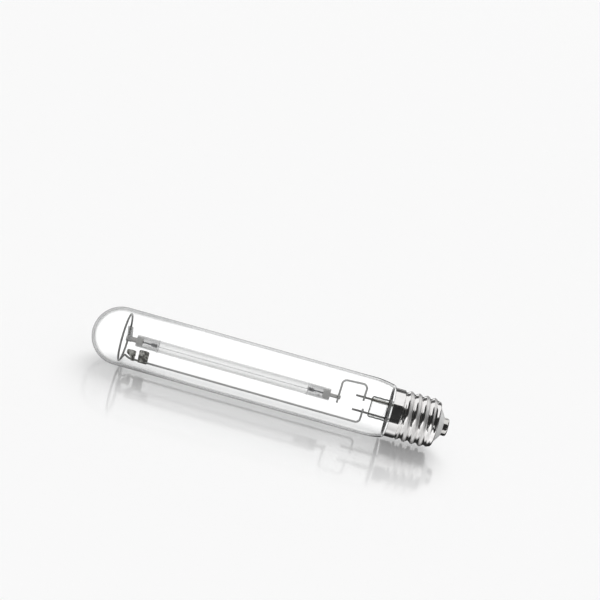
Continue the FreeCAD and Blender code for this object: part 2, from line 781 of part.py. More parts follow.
def centre_contact():
    """Pressed cup that carries the centre contact's flat face."""
    body = new_body("centre_contact", CONTACT)
    thick = "dims.contact_thick"
    gauge = "dims.contact_sheet"
    outer = "dims.contact_dia / 2"
    bend = "dims.contact_round"
    points = [
        ("0", f"{outer} - {gauge}"),
        ("0", outer),
        (f"{thick} - {bend}", outer, bend, "right"),
        (thick, f"{outer} - {bend}"),
        (thick, "dims.solder_dia / 2"),
        (f"{thick} - {gauge}", "dims.solder_dia / 2"),
        (f"{thick} - {gauge}", f"{outer} - {bend}", f"{bend} - {gauge}", "left"),
        (f"{thick} - {bend}", f"{outer} - {gauge}"),
    ]
    revolve(body, outline(body, "section", "XZ_Plane", points))
    return body


def contact_solder():
    """Solder that fills the hole in the cup, flush with its face."""
    body = new_body("contact_solder", f"(dims.overall_length - dims.contact_sheet)")
    section = circles(body, "section", "YZ_Plane", ("0", "0"), ["dims.solder_dia / 2"])
    pad(body, section, "dims.contact_sheet")
    return body


def flex_lead(label, side, corners):
    """Soft wire inside the cap, from the end of one lead post."""
    body = new_body(label, LEAD_END)
    height = f"{side}{LEAD_Z}"
    bends = ["dims.flex_bend"] * (len(corners) - 1)
    path = wire_path(body, "path", [("0", height)] + corners, bends, LEAD_Y)
    radius = "dims.flex_dia / 2"
    start = circles(body, "start", "YZ_Plane", (f"-{LEAD_Y}", height), [radius])
    sweep(body, start, path)
    return body


def flex_leads():
    settle = f"({INSULATOR} - dims.flex_settle - {LEAD_END})"
    tip = f"(dims.overall_length - dims.contact_sheet - {LEAD_END})"
    to_contact = [(f"({settle} - dims.flex_turn)", f"-{LEAD_Z}"), (settle, "0"), (tip, "0")]
    climb = f"({NECK_END} + dims.flex_turn / 2 - {LEAD_END})"
    to_shell = [(climb, LEAD_Z), (climb, f"{THREAD_BORE} - dims.flex_clear")]
    return [
        flex_lead("flex_lead_contact", "-", to_contact),
        flex_lead("flex_lead_shell", "", to_shell),
    ]


pieces = [
    outer_bulb(),
    stem(),
    lead("lead_upper", LEAD_Z),
    lead("lead_lower", f"-{LEAD_Z}"),
    lead_bead(),
    frame_wire(),
    bow_wire(),
    tube_strap(),
    arc_tube(),
    *arc_end("dome", ARC, False),
    *arc_end("cap", ARC_END, True),
    amalgam_dose(),
    starting_wire(),
    getter("a", GETTER_A),
    getter("b", GETTER_B),
    screw_shell(),
    base_cement(),
    base_insulator(),
    centre_contact(),
    contact_solder(),
    *flex_leads(),
]
doc.recompute()

for item in doc.Objects:
    if "Invalid" in item.State or "Error" in item.State:
        raise RuntimeError(f"{item.Label} did not build: {item.State}")

os.makedirs("parts", exist_ok=True)
for piece in pieces:
    if piece.Shape.isNull() or not piece.Shape.isValid() or len(piece.Shape.Solids) != 1:
        raise RuntimeError(f"{piece.Label} has no valid single solid")
for piece in pieces:
    piece.Shape.exportStep(f"parts/{piece.Label}.step")
    print(f"{piece.Label}: {piece.Shape.Volume:.1f} mm3")
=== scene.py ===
"""High pressure sodium lamp lying on a pale studio floor, dressed over its solids."""
import math

import bmesh
import bpy
from mathutils import Matrix, Vector


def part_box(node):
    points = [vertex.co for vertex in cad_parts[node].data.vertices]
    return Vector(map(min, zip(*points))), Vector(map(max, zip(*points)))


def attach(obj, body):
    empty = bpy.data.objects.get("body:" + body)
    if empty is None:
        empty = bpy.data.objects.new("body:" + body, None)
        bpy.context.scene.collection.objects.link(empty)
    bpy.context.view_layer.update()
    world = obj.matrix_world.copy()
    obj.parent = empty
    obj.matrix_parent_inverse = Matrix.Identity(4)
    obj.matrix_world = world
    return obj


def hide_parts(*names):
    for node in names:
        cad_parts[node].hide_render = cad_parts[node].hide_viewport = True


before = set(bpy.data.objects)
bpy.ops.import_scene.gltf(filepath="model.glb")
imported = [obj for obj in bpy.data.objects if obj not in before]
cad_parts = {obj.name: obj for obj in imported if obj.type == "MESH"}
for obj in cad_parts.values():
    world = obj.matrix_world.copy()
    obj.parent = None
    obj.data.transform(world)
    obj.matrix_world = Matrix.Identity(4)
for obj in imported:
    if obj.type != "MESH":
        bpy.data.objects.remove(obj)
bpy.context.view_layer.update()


# Arc tube. Sintered alumina, milky and see-through at once, drawn as one straight tube and cut to
# length. The wires at its two ends carry it, and nothing else touches it.
MM = 0.001
tiny = 1e-7
AXIS_Z = (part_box("outer_bulb")[0].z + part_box("outer_bulb")[1].z) / 2
tube_low, tube_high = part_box("arc_tube")
tube_wall = 0.75 * MM
tube_edge = 0.12 * MM
seat_gap = 0.02 * MM


def half_height(node):
    """Half the height of a solid, which is the radius of a round one."""
    low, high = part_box(node)
    return (high.z - low.z) / 2


def placed(name, data):
    """A new object, linked into the scene."""
    thing = bpy.data.objects.new(name, data)
    bpy.context.scene.collection.objects.link(thing)
    return thing


def show(name, mesh, finish, node, crease=40):
    """Puts a finished mesh in the scene, in place of the solid that the node holds."""
    mesh.name = name
    mesh.polygons.foreach_set("use_smooth", [True] * len(mesh.polygons))
    mesh.set_sharp_from_angle(angle=math.radians(crease))
    mesh.materials.clear()
    mesh.materials.append(finish)
    piece = placed(name, mesh)
    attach(piece, "root")
    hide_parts(node)


def made(form, outward=True):
    """The mesh of a finished form, with its faces turned outward."""
    if outward:
        bmesh.ops.recalc_face_normals(form, faces=form.faces)
    mesh = bpy.data.meshes.new("form")
    form.to_mesh(mesh)
    form.free()
    return mesh


def hoop(x, radius, steps):
    """Points round the lamp's axis at one station."""
    turn = [2 * math.pi * i / steps for i in range(steps)]
    return [Vector((x, radius * math.cos(a), AXIS_Z + radius * math.sin(a))) for a in turn]


def turned(profile, sides=96, closed=True):
    """A mesh turned about the lamp's axis from (station, radius) points, each in metres."""
    form = bmesh.new()
    rings = []
    for x, radius in profile:
        if radius < tiny:
            rings.append([form.verts.new((x, 0, AXIS_Z))])
        else:
            rings.append([form.verts.new(point) for point in hoop(x, radius, sides)])
    pairs = list(zip(rings, rings[1:]))
    if closed:
        pairs.append((rings[-1], rings[0]))
    for first, second in pairs:
        if len(first) == 1 and len(second) == 1:
            continue
        for i in range(sides):
            j = (i + 1) % sides
            corners = [first[i % len(first)], first[j % len(first)],
                       second[j % len(second)], second[i % len(second)]]
            form.faces.new(list(dict.fromkeys(corners)))
    return made(form)


def rounded(points, radius, steps=3):
    """The same closed outline with each sharp corner eased by a small round."""
    eased = []
    for i, (x, r) in enumerate(points):
        here = Vector((x, r))
        before = Vector(points[i - 1])
        after = Vector(points[(i + 1) % len(points)])
        if r < tiny:
            eased.append((x, r))
            continue
        start = here + (before - here).normalized() * min(radius, (before - here).length / 2)
        end = here + (after - here).normalized() * min(radius, (after - here).length / 2)
        for k in range(steps + 1):
            t = k / steps
            point = start * (1 - t) ** 2 + here * 2 * t * (1 - t) + end * t ** 2
            eased.append((point.x, point.y))
    return eased


def surface(name, colour, **sockets):
    """A material with one shader; sockets are set by name, with underscores for spaces."""
    finish = bpy.data.materials.new(name)
    finish.use_nodes = True
    shader = finish.node_tree.nodes["Principled BSDF"]
    shader.inputs["Base Color"].default_value = (*colour, 1)
    for socket, number in sockets.items():
        shader.inputs[socket.replace("_", " ")].default_value = number
    return finish, finish.node_tree, shader


def noise(tree, scale, detail=4, stretch=(1, 1, 1)):
    """Cloudy noise fixed to the object; scale is in patches per metre."""
    place = tree.nodes.new("ShaderNodeTexCoord")
    mapping = tree.nodes.new("ShaderNodeMapping")
    mapping.inputs["Scale"].default_value = stretch
    cloud = tree.nodes.new("ShaderNodeTexNoise")
    cloud.inputs["Scale"].default_value = scale
    cloud.inputs["Detail"].default_value = detail
    tree.links.new(place.outputs["Object"], mapping.inputs["Vector"])
    tree.links.new(mapping.outputs["Vector"], cloud.inputs["Vector"])
    return cloud.outputs["Fac"]


def vary_colour(tree, shader, fac, dark, light):
    """Lets noise move the colour between two tones."""
    tones = tree.nodes.new("ShaderNodeMix")
    tones.data_type = "RGBA"
    tones.inputs[6].default_value = (*dark, 1)
    tones.inputs[7].default_value = (*light, 1)
    tree.links.new(fac, tones.inputs[0])
    tree.links.new(tones.outputs[2], shader.inputs["Base Color"])


def spanned(tree, number, before, after, ease="LINEAR"):
    """A number moved from the span before to the span after, and held at its ends."""
    span = tree.nodes.new("ShaderNodeMapRange")
    span.interpolation_type = ease
    for socket, limit in zip(("From Min", "From Max", "To Min", "To Max"), (*before, *after)):
        span.inputs[socket].default_value = limit
    tree.links.new(number, span.inputs["Value"])
    return span.outputs["Result"]


def emboss(tree, shader, fac, depth, strength=0.3):
    """Lets noise raise the surface a little; depth is in metres."""
    bump = tree.nodes.new("ShaderNodeBump")
    bump.inputs["Distance"].default_value = depth
    bump.inputs["Strength"].default_value = strength
    tree.links.new(fac, bump.inputs["Height"])
    tree.links.new(bump.outputs["Normal"], shader.inputs["Normal"])


def facing(tree):
    """Nought where a surface is seen square on, and one where it is seen along itself."""
    weight = tree.nodes.new("ShaderNodeLayerWeight")
    weight.inputs["Blend"].default_value = 0.5
    return weight.outputs["Facing"]


def see_through(tree, middle, edge):
    """How solid a thin milky wall looks: middle where it is seen square on, edge along its sides."""
    return spanned(tree, facing(tree), (0, 1), (middle, edge))


def station_ramp(tree, start, end, axis="X", ease="SMOOTHSTEP"):
    """Nought before the station start and one after the station end, in metres along an axis."""
    place = tree.nodes.new("ShaderNodeTexCoord")
    parts = tree.nodes.new("ShaderNodeSeparateXYZ")
    tree.links.new(place.outputs["Object"], parts.inputs["Vector"])
    return spanned(tree, parts.outputs[axis], (start, end), (0, 1), ease)


def combined(tree, operation, *numbers, clamp=False):
    """Two or three numbers or sockets put together by a math node."""
    node = tree.nodes.new("ShaderNodeMath")
    node.operation = operation
    node.use_clamp = clamp
    for socket, number in zip(node.inputs, numbers):
        if isinstance(number, (int, float)):
            socket.default_value = number
        else:
            tree.links.new(number, socket)
    return node.outputs[0]


alumina, tree, shader = surface("alumina", (0.86, 0.86, 0.85), Roughness=0.35, IOR=1.6)
cloud = noise(tree, 900, stretch=(0.3, 1, 1))
stained = 17 * MM
stain_blur = 1.2 * MM
stain_shade = 0.4
stain_cover = 0.10
dome_clean = station_ramp(tree, tube_low.x + stained - stain_blur, tube_low.x + stained)
cap_stain = station_ramp(tree, tube_high.x - stained, tube_high.x - stained + stain_blur)
darkening = combined(tree, "ADD", combined(tree, "SUBTRACT", 1, dome_clean), cap_stain)
shade = combined(tree, "SUBTRACT", cloud, combined(tree, "MULTIPLY", darkening, stain_shade))
vary_colour(tree, shader, shade, (0.62, 0.62, 0.62), (1.0, 1.0, 0.99))
emboss(tree, shader, cloud, 0.02 * MM)
solid = combined(tree, "MULTIPLY_ADD", darkening, stain_cover, see_through(tree, middle=0.08, edge=0.48))
tree.links.new(solid, shader.inputs["Alpha"])
tube_radius = half_height("arc_tube")
tube_bore = tube_radius - tube_wall
walls = [(tube_low.x, tube_radius), (tube_high.x, tube_radius),
         (tube_high.x, tube_bore), (tube_low.x, tube_bore)]
show("arc_tube_wall", turned(rounded(walls, tube_edge), 72), alumina, "arc_tube")


# End plugs. Short rings of denser alumina, white and opaque, sintered into the two ends of the tube
# with a thin fillet of sealing glass round the niobium.
plug_white, tree, shader = surface("plug_white", (0.90, 0.90, 0.88), Roughness=0.5)
vary_colour(tree, shader, noise(tree, 1500), (0.84, 0.84, 0.82), (0.97, 0.97, 0.95))
plug_edge = 0.2 * MM
for side in ("dome", "cap"):
    low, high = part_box(f"plug_{side}")
    outer = half_height(f"plug_{side}")
    inner = half_height(f"niobium_tube_{side}") + seat_gap
    ring = [(low.x, outer), (high.x, outer), (high.x, inner), (low.x, inner)]
    show(f"end_plug_{side}", turned(rounded(ring, plug_edge), 48), plug_white,
         f"plug_{side}")


# Niobium tubes. Thin drawn metal tubes sealed through the plugs: they carry the arc tube, feed the
# current in and hold the electrodes by a crimp inside.
def vary_gloss(tree, shader, fac, low, high):
    """Lets noise move the roughness between two numbers."""
    tree.links.new(spanned(tree, fac, (0, 1), (low, high)), shader.inputs["Roughness"])


niobium_grey, tree, shader = surface("niobium_grey", (0.35, 0.34, 0.33), Metallic=1.0, Roughness=0.35)
cloud = noise(tree, 1200, stretch=(0.2, 1, 1))
vary_colour(tree, shader, cloud, (0.24, 0.235, 0.23), (0.46, 0.45, 0.44))
vary_gloss(tree, shader, cloud, 0.25, 0.45)
cup_wall = 0.35 * MM
cup_round = 0.5 * MM
cup_edge = 0.1 * MM
for side in ("dome", "cap"):
    low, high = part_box(f"niobium_tube_{side}")
    radius = half_height(f"niobium_tube_{side}")
    open_end, shut_end, inward = (low.x, high.x, 1) if side == "dome" else (high.x, low.x, -1)
    cup = [(open_end, radius), (shut_end - inward * cup_round, radius),
           (shut_end, radius - cup_round), (shut_end, 0), (shut_end - inward * cup_wall, 0),
           (shut_end - inward * cup_wall, radius - cup_wall), (open_end, radius - cup_wall)]
    show(f"niobium_{side}", turned(rounded(cup, cup_edge), 40), niobium_grey,
         f"niobium_tube_{side}")


# Electrodes. A tungsten shaft with a close coil of tungsten wire near its tip, crimped in the end of
# each niobium tube and pointing into the arc tube.
tungsten, tree, shader = surface("tungsten", (0.16, 0.16, 0.17), Metallic=1.0, Roughness=0.42)
cloud = noise(tree, 2500)
vary_colour(tree, shader, cloud, (0.10, 0.10, 0.11), (0.24, 0.24, 0.25))
emboss(tree, shader, cloud, 0.02 * MM)


def evaluated(holder):
    """The mesh that a curve or a modified object comes to; the object itself is taken away."""
    bpy.context.view_layer.update()
    seen = holder.evaluated_get(bpy.context.evaluated_depsgraph_get())
    mesh = bpy.data.meshes.new_from_object(seen)
    bpy.data.objects.remove(holder)
    return mesh


def wire_mesh(runs, radius, closed=False, sides=4):
    """Round wire along one or more lists of points, as a mesh."""
    curve = bpy.data.curves.new("wire", "CURVE")
    curve.dimensions = "3D"
    curve.bevel_depth = radius
    curve.bevel_resolution = sides
    curve.use_fill_caps = True
    for run in runs:
        spline = curve.splines.new("POLY")
        spline.points.add(len(run) - 1)
        for point, place in zip(spline.points, run):
            point.co = (*place, 1)
        spline.use_cyclic_u = closed or (run[0] - run[-1]).length < radius
    mesh = evaluated(placed("wire_path", curve))
    bpy.data.curves.remove(curve)
    return mesh


point_length = 0.3 * MM
point_drop = 0.25 * MM
shaft_edge = 0.08 * MM
turns = 6
turn_steps = 20
for side in ("dome", "cap"):
    low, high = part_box(f"electrode_{side}")
    radius = half_height(f"electrode_{side}")
    tip, root = (high.x, low.x) if side == "dome" else (low.x, high.x)
    inward = 1 if side == "dome" else -1
    shaft = [(root, 0), (root, radius), (tip - inward * point_length, radius),
             (tip, radius - point_drop), (tip, 0)]
    show(f"shaft_{side}", turned(rounded(shaft, shaft_edge), 32, closed=False),
         tungsten, f"electrode_{side}")
    low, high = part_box(f"electrode_coil_{side}")
    coil_radius = half_height(f"electrode_coil_{side}")
    wire = (coil_radius - radius) / 2 - seat_gap
    pitch = (high.x - low.x - 2 * wire) / turns
    reach = coil_radius - wire
    helix = []
    for i in range(turns * turn_steps + 1):
        a = 2 * math.pi * i / turn_steps
        x = low.x + wire + pitch * i / turn_steps
        helix.append(Vector((x, reach * math.cos(a), AXIS_Z + reach * math.sin(a))))
    show(f"coil_{side}", wire_mesh([helix], wire), tungsten, f"electrode_coil_{side}")


# Amalgam dose. A drop of sodium and mercury that froze where it lay in the arc tube when the lamp
# was switched off; bright, rounded and a little flat underneath.
amalgam_bright, tree, shader = surface("amalgam_bright", (0.72, 0.72, 0.73), Metallic=1.0,
                                       Roughness=0.2)
vary_gloss(tree, shader, noise(tree, 1800), 0.12, 0.4)
low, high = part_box("amalgam_dose")
centre = (low + high) / 2
radius = half_height("amalgam_dose")
drop_share = 0.97
drop_swell = 0.02
sunk_share = 0.8
drop = bmesh.new()
bmesh.ops.create_icosphere(drop, subdivisions=4, radius=radius * drop_share)
for vert in drop.verts:
    x, y = vert.co.xy / radius
    vert.co *= 1 + drop_swell * math.sin(3 * x + 1) * math.cos(4 * y)
    vert.co.z = max(vert.co.z, -sunk_share * radius)
    vert.co += centre
show("amalgam_drop", made(drop, outward=False), amalgam_bright, "amalgam_dose")


# Starting wire. Thin wire looped round the tube near each electrode, with one run between the loops
# along its side; it carries the starting pulse and is held by its own spring.
starting_grey, tree, shader = surface("starting_grey", (0.62, 0.62, 0.62), Metallic=1.0, Roughness=0.4)
vary_colour(tree, shader, noise(tree, 1500, stretch=(0.2, 1, 1)), (0.5, 0.5, 0.5), (0.72, 0.72, 0.72))
low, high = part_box("starting_wire")
thin = 0.3 * MM
loop_radius = half_height("starting_wire") - thin
run_angle = math.radians(22)
side_y = -loop_radius * math.cos(run_angle)
side_z = AXIS_Z + loop_radius * math.sin(run_angle)
loops = (low.x + thin, high.x - thin)
wires = [wire_mesh([hoop(x, loop_radius, 72)], thin, closed=True) for x in loops]
wires.append(wire_mesh([[Vector((x, side_y, side_z)) for x in loops]], thin))


def joined(meshes):
    """One mesh from several."""
    form = bmesh.new()
    for mesh in meshes:
        form.from_mesh(mesh)
        bpy.data.meshes.remove(mesh)
    return made(form, outward=False)


show("starting_aid", joined(wires), starting_grey, "starting_wire")


# Stem. A soft glass tube flared at one end to meet the neck, and pinched flat over the leads at the
# other while hot, which leaves the press with rounded, slightly uneven sides.
stem_low, stem_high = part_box("stem")
press_half_width = 8.8 * MM
press_half_thick = 2.8 * MM
press_length = 11 * MM
blend_length = 7 * MM
stem_radius = 9.5 * MM
stem_wall = 1.3 * MM
stem_tube = 10 * MM
seal_radius = half_height("stem")
press_end = stem_low.x + press_length
blend_end = press_end + blend_length
flare_start = blend_end + stem_tube
flare_curve = 1.6
press_round = 2.2 * MM
press_square = 4.2
press_uneven = 0.022
swell_wave = 900
swell_beat = 700
width_wave = 1100
tip_uneven = 0.02
tip_thick = 0.25
tip_wide = 0.86
hollow_blunt = 0.97
hollow_end = blend_end + 2 * MM
fold_bow = 2.6 * MM
fold_height = 0.4 * MM
fold_width = 0.45 * MM
stem_sides = 96


def smooth_step(t):
    """Eases from nought to one as t does, and holds at both ends."""
    t = min(1, max(0, t))
    return t * t * (3 - 2 * t)


def skinned(form, rows, closed=False):
    """Faces between neighbouring rows of vertices, all the way round where they are closed."""
    for first, second in zip(rows, rows[1:]):
        for j in range(0 if closed else 1, len(first)):
            form.faces.new((first[j - 1], first[j], second[j], second[j - 1]))


def pressed_ring(x, half_thick, half_width, squareness, uneven):
    """One ring of the stem: a rounded flat section that opens into a circle."""
    ring = []
    for i in range(stem_sides):
        a = 2 * math.pi * i / stem_sides
        c, s = math.cos(a), math.sin(a)
        y = math.copysign(abs(c) ** (2 / squareness), c) * half_thick
        z = math.copysign(abs(s) ** (2 / squareness), s) * half_width
        swell = 1 + uneven * math.sin(3 * a + swell_wave * x) * math.cos(swell_beat * x)
        widen = 1 + uneven * math.sin(width_wave * x + 2 * c) / 2
        fold_x = press_end + fold_bow * (1 - (z / press_half_width) ** 2)
        ridge = fold_height * math.exp(-(((x - fold_x) / fold_width) ** 2)) * c
        ring.append((x, y * swell + ridge, AXIS_Z + z * widen))
    return ring


stations = []
for step in range(8):
    t = step / 7
    squeeze = math.sqrt(1 - (1 - t) ** 2)
    stations.append((stem_low.x + press_round * t,
                     press_half_thick * (tip_thick + (1 - tip_thick) * squeeze),
                     press_half_width * (tip_wide + (1 - tip_wide) * squeeze),
                     press_square, tip_uneven))
for step in range(1, 37):
    x = stem_low.x + press_round + (press_length - press_round) * step / 36
    stations.append((x, press_half_thick, press_half_width, press_square, press_uneven))
for step in range(1, 31):
    t = step / 30
    ease = smooth_step(t) ** 3
    stations.append((press_end + blend_length * t,
                     press_half_thick + (stem_radius - press_half_thick) * ease,
                     press_half_width + (stem_radius - press_half_width) * ease,
                     press_square + (2 - press_square) * ease, press_uneven * (1 - ease)))
for step in range(1, 5):
    stations.append((blend_end + stem_tube * step / 4, stem_radius, stem_radius, 2, 0))
for step in range(1, 11):
    t = step / 10
    radius = stem_radius + (seal_radius - stem_radius) * t ** flare_curve
    stations.append((flare_start + (stem_high.x - stem_wall - flare_start) * t, radius, radius, 2, 0))
stations.append((stem_high.x, seal_radius, seal_radius, 2, 0))
inside = []
for step in range(11):
    t = step / 10
    radius = stem_radius + (seal_radius - stem_radius) * (1 - t) ** flare_curve - stem_wall
    inside.append((stem_high.x + (flare_start - stem_high.x) * t, radius, radius, 2, 0))
for step in range(1, 6):
    t = step / 5
    radius = (stem_radius - stem_wall) * math.sqrt(1 - (t * hollow_blunt) ** 4)
    inside.append((flare_start + (hollow_end - flare_start) * t, radius, radius, 2, 0))
form = bmesh.new()
loops = [[form.verts.new(p) for p in pressed_ring(*station)] for station in stations + inside]
skinned(form, loops, closed=True)
form.faces.new(loops[0])
form.faces.new(loops[-1])
stem_glass, tree, shader = surface("stem_glass", (0.93, 0.94, 0.93), Roughness=0.06, IOR=1.03,
                                   Transmission_Weight=1.0)


def mixed(tree, share, below, above):
    """Two shaders laid over each other, the upper one by its share."""
    mix = tree.nodes.new("ShaderNodeMixShader")
    for socket, source in zip(mix.inputs, (share, below, above)):
        tree.links.new(source, socket)
    return mix.outputs["Shader"]


def let_lamps_through(tree, shader, share):
    """Lets light from the lamps pass, dimmed to a share at each wall, as clear glass does."""
    path = tree.nodes.new("ShaderNodeLightPath")
    clear = tree.nodes.new("ShaderNodeBsdfTransparent")
    clear.inputs["Color"].default_value = (share, share, share, 1)
    both = mixed(tree, path.outputs["Is Shadow Ray"], shader.outputs["BSDF"], clear.outputs["BSDF"])
    tree.links.new(both, tree.nodes["Material Output"].inputs["Surface"])


def darken_edges(tree, shader, middle, edge, start, full, until, clear=1):
    """Paints glass darker, and less clear, where it is seen along its wall, up to a station: painted
    shade in place of the dark outline that glass shows along its edges.

    A mirror that sees the glass keeps a quarter of it, so that the floor stays light beside it.
    """
    fade_length = 1.5 * MM
    in_mirror = 0.25
    above = combined(tree, "SUBTRACT", facing(tree), start)
    along_wall = combined(tree, "DIVIDE", above, combined(tree, "SUBTRACT", full, start), clamp=True)
    kept = combined(tree, "SUBTRACT", 1, station_ramp(tree, until, until + fade_length))
    path = tree.nodes.new("ShaderNodeLightPath")
    direct = combined(tree, "LESS_THAN", path.outputs["Glossy Depth"], 0.5)
    strength = combined(tree, "MULTIPLY_ADD", direct, 1 - in_mirror, in_mirror)
    share = combined(tree, "MULTIPLY", combined(tree, "MULTIPLY", along_wall, kept), strength)
    vary_colour(tree, shader, share, middle, edge)
    if clear < 1:
        clarity = combined(tree, "MULTIPLY_ADD", share, clear - 1, 1.0)
        tree.links.new(clarity, shader.inputs["Transmission Weight"])


# Painted shade: the press is drawn dark where it is seen along its wall, up to just past its end.
dark_until = press_end + 2.2 * MM
milky_from = press_end + 3 * MM
milky_full = press_end + 5 * MM
milkiness = 0.35
darken_edges(tree, shader, (0.985, 0.99, 0.985), (0.02, 0.022, 0.02), start=0.08, full=0.45,
             until=dark_until)
milky = station_ramp(tree, milky_from, milky_full)
clarity = combined(tree, "MULTIPLY_ADD", milky, -milkiness, 1.0)
tree.links.new(clarity, shader.inputs["Transmission Weight"])
emboss(tree, shader, noise(tree, 260, 2), 0.3 * MM, 0.6)
let_lamps_through(tree, shader, share=0.85)
show("stem_press", made(form), stem_glass, "stem", crease=60)


# Current leads. Two straight molybdenum posts that the press grips, darkened by the heat of sealing,
# with their ends cropped square.
lead_dark, tree, shader = surface("lead_dark", (0.20, 0.20, 0.20), Metallic=1.0, Roughness=0.38)
cloud = noise(tree, 900, stretch=(0.15, 1, 1))
vary_colour(tree, shader, cloud, (0.06, 0.06, 0.058), (0.20, 0.195, 0.19))
vary_gloss(tree, shader, cloud, 0.25, 0.5)
lead_edge = 0.15 * MM


def centred(mesh, low, high):
    """A mesh turned about the lamp's axis, moved to the middle of a solid's box."""
    mesh.transform(Matrix.Translation((0, (low.y + high.y) / 2, (low.z + high.z) / 2 - AXIS_Z)))
    return mesh


for name in ("lead_upper", "lead_lower"):
    low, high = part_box(name)
    lead_radius = half_height(name)
    post = [(low.x, 0), (low.x, lead_radius), (high.x, lead_radius), (high.x, 0)]
    mesh = turned(rounded(post, lead_edge), 32, closed=False)
    show(f"{name}_post", centred(mesh, low, high), lead_dark, name)


# Sealing bead. A sleeve of olive glass melted round the upper lead before the press was made, so its
# ends are drawn down on to the wire.
bead_olive, tree, shader = surface("bead_olive", (0.30, 0.29, 0.22), Roughness=0.1, IOR=1.5)
vary_colour(tree, shader, noise(tree, 700, stretch=(0.3, 1, 1)), (0.18, 0.17, 0.10), (0.38, 0.37, 0.28))
tree.links.new(see_through(tree, middle=0.12, edge=1.0), shader.inputs["Alpha"])
low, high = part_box("lead_bead")
radius = half_height("lead_bead")
bead_bore = 0.8 * MM
lip_reach = 0.1 * MM
lip_radius = bead_bore + 0.35 * MM
sleeve = [(low.x, bead_bore), (low.x + lip_reach, lip_radius)]
for step in range(1, 24):
    t = step / 24
    swell = min(1, 0.8 + 0.2 * math.sin(math.pi * t) + 0.03 * math.sin(14 * t))
    sleeve.append((low.x + (high.x - low.x) * t, radius * swell))
sleeve += [(high.x - lip_reach, lip_radius), (high.x, bead_bore)]
mesh = centred(turned(sleeve, 40), low, high)
show("sealing_bead", mesh, bead_olive, "lead_bead")


# Frame wire. One nickel-plated wire: a leg welded across the lower lead, a long rod below the arc
# tube, a sharp kink, and a ring sprung into the dome to keep the frame in the middle.
frame_metal, tree, shader = surface("frame_metal", (0.42, 0.42, 0.42), Metallic=1.0, Roughness=0.3)
cloud = noise(tree, 700, stretch=(0.2, 1, 1))
# The wire is darker over the ring and the rod's first stretch past the arc tube's dome end, and lighter
# beyond it, with mottling all along.
dome_dark_length = 30 * MM
past_dome_lift = 0.75
cloud_share = 0.4
away_from_dome = station_ramp(tree, tube_low.x, tube_low.x + dome_dark_length)
mottle = combined(tree, "MULTIPLY", cloud, cloud_share)
darkening = combined(tree, "MULTIPLY_ADD", away_from_dome, past_dome_lift, mottle)
vary_colour(tree, shader, darkening, (0.10, 0.10, 0.097), (0.34, 0.34, 0.335))
vary_gloss(tree, shader, cloud, 0.2, 0.42)


def bent(corners, bends, y):
    """Points along a wire of straight runs in the plane y, with an arc at each corner."""
    points = [Vector((x, y, AXIS_Z + z)) for x, z in corners]
    path = [points[0]]
    for before, corner, after, bend in zip(points, points[1:], points[2:], bends):
        arrive = (corner - before).normalized()
        leave = (after - corner).normalized()
        turn = arrive.angle(leave)
        reach = bend * math.tan(turn / 2)
        centre = corner + (leave - arrive).normalized() * bend / math.cos(turn / 2)
        start = corner - arrive * reach - centre
        steps = max(4, round(turn * 9))
        axis = arrive.cross(leave).normalized()
        for i in range(steps + 1):
            path.append(centre + Matrix.Rotation(turn * i / steps, 3, axis) @ start)
    path.append(points[-1])
    return path


frame_radius = 0.8 * MM
low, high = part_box("frame_wire")
frame_y = -half_height("niobium_tube_cap") - frame_radius - seat_gap
ring_x = low.x + frame_radius
ring_radius = half_height("frame_wire") - frame_radius
leg_x = high.x - frame_radius
leg_top = -3 * MM
rod_z = -15.5 * MM
frame_bend = 3.6 * MM
kink_bend = 1 * MM
kink_foot = 6.8 * MM
kink_top = 2.4 * MM
kink_rise = 2.3 * MM
tail_x = ring_x + 0.2 * MM
tail_z = -math.sqrt(ring_radius ** 2 - frame_y ** 2) + 0.4 * MM
corners = [(leg_x, leg_top), (leg_x, rod_z), (ring_x + kink_foot, rod_z),
           (ring_x + kink_top, rod_z + kink_rise), (tail_x, tail_z)]
rod = bent(corners, [frame_bend, frame_bend, kink_bend], frame_y)
ring = hoop(ring_x, ring_radius, 144)
mesh = joined([wire_mesh([rod], frame_radius, sides=6),
               wire_mesh([ring], frame_radius, closed=True, sides=6)])
show("frame_rod_and_ring", mesh, frame_metal, "frame_wire")


# Bow wire. The same wire bent into a square bow, welded across the upper lead at one end and along
# the niobium tube at the other, which carries the arc tube's cap end.
bow_low, bow_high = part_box("bow_wire")
foot_x = bow_low.x + frame_radius
leg_x = bow_high.x - frame_radius
foot_z = -3.6 * MM
foot_top = 16.6 * MM
leg_top = 17.8 * MM
leg_z = 4 * MM
corners = [(foot_x, foot_z), (foot_x, foot_top), (leg_x, leg_top), (leg_x, leg_z)]
mesh = wire_mesh([bent(corners, [frame_bend] * 2, frame_y)], frame_radius, sides=6)
show("bow", mesh, frame_metal, "bow_wire")


# Strap. Nickel strip folded round the niobium tube at the dome end and led back to the ring, where
# its tab is spot welded; it carries the arc tube and lets it grow with heat.
strap_metal, tree, shader = surface("strap_metal", (0.38, 0.38, 0.38), Metallic=1.0, Roughness=0.3)
cloud = noise(tree, 500)
vary_colour(tree, shader, cloud, (0.22, 0.22, 0.22), (0.46, 0.46, 0.455))
vary_gloss(tree, shader, cloud, 0.18, 0.4)
emboss(tree, shader, noise(tree, 300), 0.1 * MM, 0.4)
low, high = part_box("tube_strap")
strap_thick = 0.4 * MM
strap_half = 2.1 * MM
strap_shift = 3.2 * MM
strap_gap = 0.05 * MM
strap_lap = 1.2 * MM
strap_tab = 2.6 * MM
strap_edge = 0.1 * MM
fold_radius = half_height("niobium_tube_dome") + strap_gap + strap_thick / 2
turn_y = high.y - strap_thick * 1.5
line = [(strap_lap, -fold_radius, strap_shift)]
for i in range(17):
    a = -math.pi / 2 - math.pi * i / 16
    line.append((fold_radius * math.cos(a), fold_radius * math.sin(a), strap_shift))
